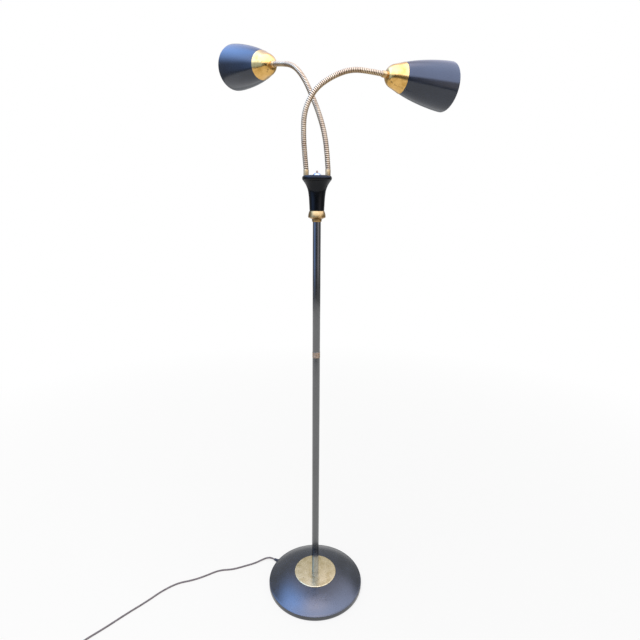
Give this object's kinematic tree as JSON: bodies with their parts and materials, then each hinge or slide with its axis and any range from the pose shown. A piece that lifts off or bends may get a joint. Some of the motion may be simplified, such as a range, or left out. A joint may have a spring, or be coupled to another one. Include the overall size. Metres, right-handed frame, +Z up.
{
  "type": "floor lamp",
  "caption": "Floor lamp with a round weighted base, slim two-part pole, trumpet head with a push switch, and bending ribbed brass necks that carry tapered metal shades.",
  "frame": {"origin": "centre of the felt face under the base, on the floor", "axes": "+Z up along the pole; -Y is the front; +X is to the right seen from the front"},
  "size_m": [1.0098, 0.6508, 1.5605],
  "materials": {
    "felt": "pressed wool felt",
    "cast_iron": "rough sand casting",
    "base_enamel": "semi-gloss black-grey lacquer",
    "pole_enamel": "satin black-grey enamel",
    "shade_enamel": "satin black enamel outside, white enamel inside",
    "aged_brass": "aged and slightly spotted",
    "polished_brass": "polished",
    "neck_brass": "brass-plated steel strip, worn",
    "steel": "zinc plated",
    "moulded_black": "glossy phenolic moulding",
    "moulded_brown": "phenolic moulding",
    "nickel": "nickel plated",
    "button_brass": "brass, worn",
    "bulb_glass": "frosted",
    "bulb_aluminium": "pressed",
    "lead_cover": "grey-brown PVC",
    "lead_rubber": "moulded rubber",
    "plug_moulding": "moulded",
    "pin_brass": "stamped"
  },
  "bodies": {
    "stand": {"base_cover": "base_enamel", "base_disc": "aged_brass", "base_nipple": "steel", "base_nut": "steel", "base_washer": "steel", "base_weight": "cast_iron", "felt_pad": "felt", "head_collar": "aged_brass", "head_lid": "moulded_black", "head_nipple": "steel", "head_nut": "steel", "head_shell": "moulded_black", "lead": "lead_cover", "lead_coil": "lead_cover", "lead_inside": "lead_cover", "lead_relief": "lead_rubber", "lead_tie": "lead_rubber", "left_neck_foot": "neck_brass", "neck_cone": "aged_brass", "neck_nuts": "steel", "plug_body": "plug_moulding", "plug_pins": "pin_brass", "pole_coupling": "aged_brass", "pole_foot_plug": "steel", "pole_lower": "pole_enamel", "pole_top_plug": "steel", "pole_upper": "pole_enamel", "right_neck_foot": "neck_brass", "switch_bezel": "nickel", "switch_body": "moulded_brown"},
    "right_stretch_1": {"right_neck_1": "neck_brass"},
    "right_stretch_2": {"right_neck_2": "neck_brass"},
    "right_stretch_3": {"right_neck_3": "neck_brass"},
    "right_stretch_4": {"right_neck_4": "neck_brass"},
    "right_stretch_5": {"right_neck_5": "neck_brass"},
    "right_stretch_6": {"right_neck_6": "neck_brass"},
    "right_head": {"right_neck_7": "neck_brass", "right_ferrule": "polished_brass", "right_holder_nipple": "steel", "right_shade_cap": "polished_brass", "right_shade": "shade_enamel", "right_lamp_holder": "moulded_brown", "right_bulb_cap": "bulb_aluminium", "right_bulb_glass": "bulb_glass"},
    "left_stretch_1": {"left_neck_1": "neck_brass"},
    "left_stretch_2": {"left_neck_2": "neck_brass"},
    "left_stretch_3": {"left_neck_3": "neck_brass"},
    "left_stretch_4": {"left_neck_4": "neck_brass"},
    "left_stretch_5": {"left_neck_5": "neck_brass"},
    "left_stretch_6": {"left_neck_6": "neck_brass"},
    "left_head": {"left_neck_7": "neck_brass", "left_ferrule": "polished_brass", "left_holder_nipple": "steel", "left_shade_cap": "polished_brass", "left_shade": "shade_enamel", "left_lamp_holder": "moulded_brown", "left_bulb_cap": "bulb_aluminium", "left_bulb_glass": "bulb_glass"},
    "button": {"switch_button": "button_brass"}
  },
  "joints": [
    {"name": "right_bend_1", "type": "hinge", "parent": "stand", "child": "right_stretch_1", "pos_m": [-0.0265, 0, 1.208], "axis": [-0.3387, 0.9409, 0], "range_deg": [-35, 10]},
    {"name": "right_sway_2", "type": "hinge", "parent": "right_stretch_1", "child": "right_stretch_2", "pos_m": [-0.03106, -0.00164, 1.26078], "axis": [0.938, 0.3377, 0.0785], "range_deg": [-8, 35]},
    {"name": "right_bend_3", "type": "hinge", "parent": "right_stretch_2", "child": "right_stretch_3", "pos_m": [-0.03193, -0.00196, 1.31374], "axis": [-0.3387, 0.9409, 0], "range_deg": [-35, 25]},
    {"name": "right_sway_4", "type": "hinge", "parent": "right_stretch_3", "child": "right_stretch_4", "pos_m": [-0.01872, 0.0028, 1.36437], "axis": [-0.8269, -0.2977, 0.4772], "range_deg": [-35, 30]},
    {"name": "right_bend_5", "type": "hinge", "parent": "right_stretch_4", "child": "right_stretch_5", "pos_m": [0.01419, 0.01465, 1.40356], "axis": [-0.3387, 0.9409, 0], "range_deg": [-40, 30]},
    {"name": "right_sway_6", "type": "hinge", "parent": "right_stretch_5", "child": "right_stretch_6", "pos_m": [0.05802, 0.03043, 1.42859], "axis": [0.3448, 0.1241, -0.9304], "range_deg": [-40, 40]},
    {"name": "right_bend_7", "type": "hinge", "parent": "right_stretch_6", "child": "right_head", "pos_m": [0.1068, 0.04799, 1.43773], "axis": [-0.3387, 0.9409, 0], "range_deg": [-40, 30]},
    {"name": "left_bend_1", "type": "hinge", "parent": "stand", "child": "left_stretch_1", "pos_m": [0.0265, 0, 1.208], "axis": [-0.7443, -0.6678, 0], "range_deg": [-6, 30]},
    {"name": "left_sway_2", "type": "hinge", "parent": "left_stretch_1", "child": "left_stretch_2", "pos_m": [0.02173, 0.00532, 1.2605], "axis": [-0.6577, 0.733, -0.1736], "range_deg": [-12, 35]},
    {"name": "left_bend_3", "type": "hinge", "parent": "left_stretch_2", "child": "left_stretch_3", "pos_m": [0.0117, 0.0165, 1.31121], "axis": [-0.7443, -0.6678, 0], "range_deg": [-15, 30]},
    {"name": "left_sway_4", "type": "hinge", "parent": "left_stretch_3", "child": "left_stretch_4", "pos_m": [-0.00436, 0.03439, 1.3584], "axis": [-0.5724, 0.638, -0.515], "range_deg": [-35, 35]},
    {"name": "left_bend_5", "type": "hinge", "parent": "left_stretch_4", "child": "left_stretch_5", "pos_m": [-0.02337, 0.05559, 1.40309], "axis": [-0.7443, -0.6678, 0], "range_deg": [-40, 30]},
    {"name": "left_sway_6", "type": "hinge", "parent": "left_stretch_5", "child": "left_stretch_6", "pos_m": [-0.04665, 0.08153, 1.44283], "axis": [0.4425, -0.4932, 0.749], "range_deg": [-40, 40]},
    {"name": "left_bend_7", "type": "hinge", "parent": "left_stretch_6", "child": "left_head", "pos_m": [-0.07767, 0.1161, 1.46727], "axis": [-0.7443, -0.6678, 0], "range_deg": [-40, 30]},
    {"name": "button_press", "type": "slide", "parent": "stand", "child": "button", "axis": [0, 0, -1], "range_m": [0, 0.003], "stiffness_N_per_m": 400, "springref_m": -0.002}
  ]
}
